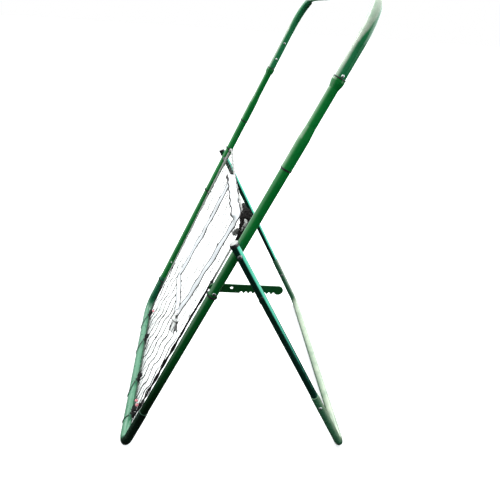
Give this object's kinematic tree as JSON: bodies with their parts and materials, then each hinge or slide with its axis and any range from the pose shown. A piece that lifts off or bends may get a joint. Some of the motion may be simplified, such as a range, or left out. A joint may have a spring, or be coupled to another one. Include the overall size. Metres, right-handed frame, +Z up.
{
  "type": "golf chipping net",
  "caption": "Leaning tubular steel frame with a folding rear stand, a notched prop bar and a black net with a white ribbon target.",
  "frame": {"origin": "on the floor, at the centre of the object's footprint box", "axes": "+Z up, +Y from the ball side towards the stand behind, +X to the right seen from the ball side, along the bottom bar"},
  "size_m": [0.845, 0.7386, 1.318],
  "materials": {
    "green_paint": "gloss enamel on round steel tube",
    "dark_green_paint": "gloss enamel on flat steel plate and lug pin",
    "zinc": "bright zinc-plated fasteners",
    "spring_steel": "blued spring steel",
    "black_steel": "black-oxide steel bolt",
    "black_plastic": "moulded black plastic",
    "black_cord": "braided polyester cord",
    "netting": "knotted black netting twine",
    "white_ribbon": "white woven polyester ribbon",
    "pink_bead": "moulded pink plastic"
  },
  "bodies": {
    "main_frame": {"bottom_u_tube": "green_paint", "lower_tube_right": "green_paint", "lower_tube_left": "green_paint", "middle_tube_right": "green_paint", "middle_tube_left": "green_paint", "top_u_tube": "green_paint", "top_rivets": "zinc", "seam_rings": "black_plastic", "bottom_spring_right": "spring_steel", "bottom_spring_left": "spring_steel", "top_spring_right": "spring_steel", "top_spring_left": "spring_steel", "pivot_bolts": "zinc", "pivot_nuts": "zinc", "pivot_spacers": "black_plastic", "pivot_washers": "zinc", "bar_bolt": "zinc", "bar_nut": "zinc", "bar_washer": "black_plastic", "net_panel": "netting", "net_border_rope": "black_cord", "gathered_net": "netting", "target_ribbon": "white_ribbon", "ribbon_knot": "white_ribbon", "bar_lashing": "black_cord", "side_ties": "black_cord", "tie_knots": "black_cord", "tie_beads": "pink_bead"},
    "stand": {"stand_leg_right": "green_paint", "stand_leg_left": "green_paint", "stand_u_tube": "green_paint", "leg_caps": "black_plastic", "stand_joint_bolts": "zinc", "stand_joint_nuts": "zinc", "catch_pin": "dark_green_paint", "catch_bolt": "black_steel"},
    "notch_bar": {"notched_bar": "dark_green_paint"},
    "button_bottom_right": {"bottom_button_right": "zinc"},
    "button_bottom_left": {"bottom_button_left": "zinc"},
    "button_top_right": {"top_button_right": "zinc"},
    "button_top_left": {"top_button_left": "zinc"}
  },
  "joints": [
    {"name": "stand_fold", "type": "hinge", "parent": "main_frame", "child": "stand", "pos_m": [0, -0.01565, 0.73882], "axis": [-1, 0, 0], "range_deg": [0, 43]},
    {"name": "notch_bar_lift", "type": "hinge", "parent": "main_frame", "child": "notch_bar", "pos_m": [0.3595, -0.07397, 0.61375], "axis": [1, 0, 0], "range_deg": [0, 58]},
    {"name": "bottom_button_right_press", "type": "slide", "parent": "main_frame", "child": "button_bottom_right", "axis": [1, 0, 0], "range_m": [0, 0.0026], "stiffness_N_per_m": 800, "springref_m": -0.002, "deforming": ["bottom_spring_right"]},
    {"name": "bottom_button_left_press", "type": "slide", "parent": "main_frame", "child": "button_bottom_left", "axis": [-1, 0, 0], "range_m": [0, 0.0026], "stiffness_N_per_m": 800, "springref_m": -0.002, "deforming": ["bottom_spring_left"]},
    {"name": "top_button_right_press", "type": "slide", "parent": "main_frame", "child": "button_top_right", "axis": [-1, 0, 0], "range_m": [0, 0.0026], "stiffness_N_per_m": 800, "springref_m": -0.002, "deforming": ["top_spring_right"]},
    {"name": "top_button_left_press", "type": "slide", "parent": "main_frame", "child": "button_top_left", "axis": [-1, 0, 0], "range_m": [0, 0.0026], "stiffness_N_per_m": 800, "springref_m": -0.002, "deforming": ["top_spring_left"]}
  ]
}
